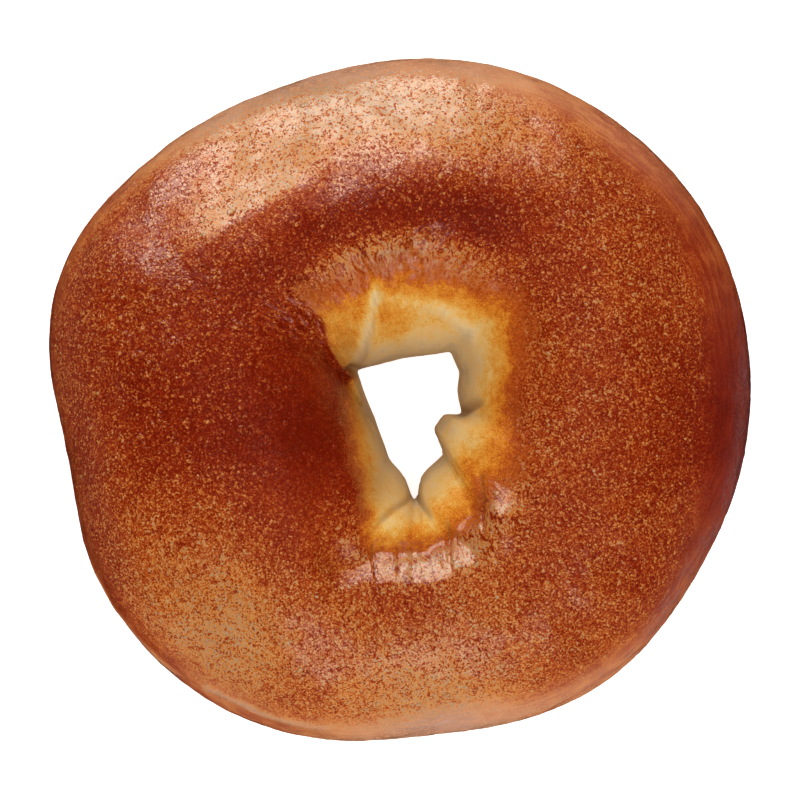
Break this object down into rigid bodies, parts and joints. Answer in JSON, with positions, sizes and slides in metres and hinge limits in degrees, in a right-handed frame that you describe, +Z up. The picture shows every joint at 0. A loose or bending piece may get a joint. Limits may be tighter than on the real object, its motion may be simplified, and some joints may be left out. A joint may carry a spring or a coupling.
{
  "type": "bagel",
  "caption": "Plain bagel with a glossy browned crust and a small kite-shaped hole, resting on its flat base.",
  "frame": {"origin": "middle of the flat base, under the middle of the outer edge's bounding box", "axes": "+Z up out of the crown, +Y towards the top of the picture, +X towards its right"},
  "size_m": [0.1054, 0.1024, 0.0361],
  "materials": {
    "crust": "boiled and baked wheat crust, glossy chestnut brown with pale specks, gold and cream in the hole"
  },
  "bodies": {
    "root": {"bagel": "crust"}
  },
  "joints": []
}
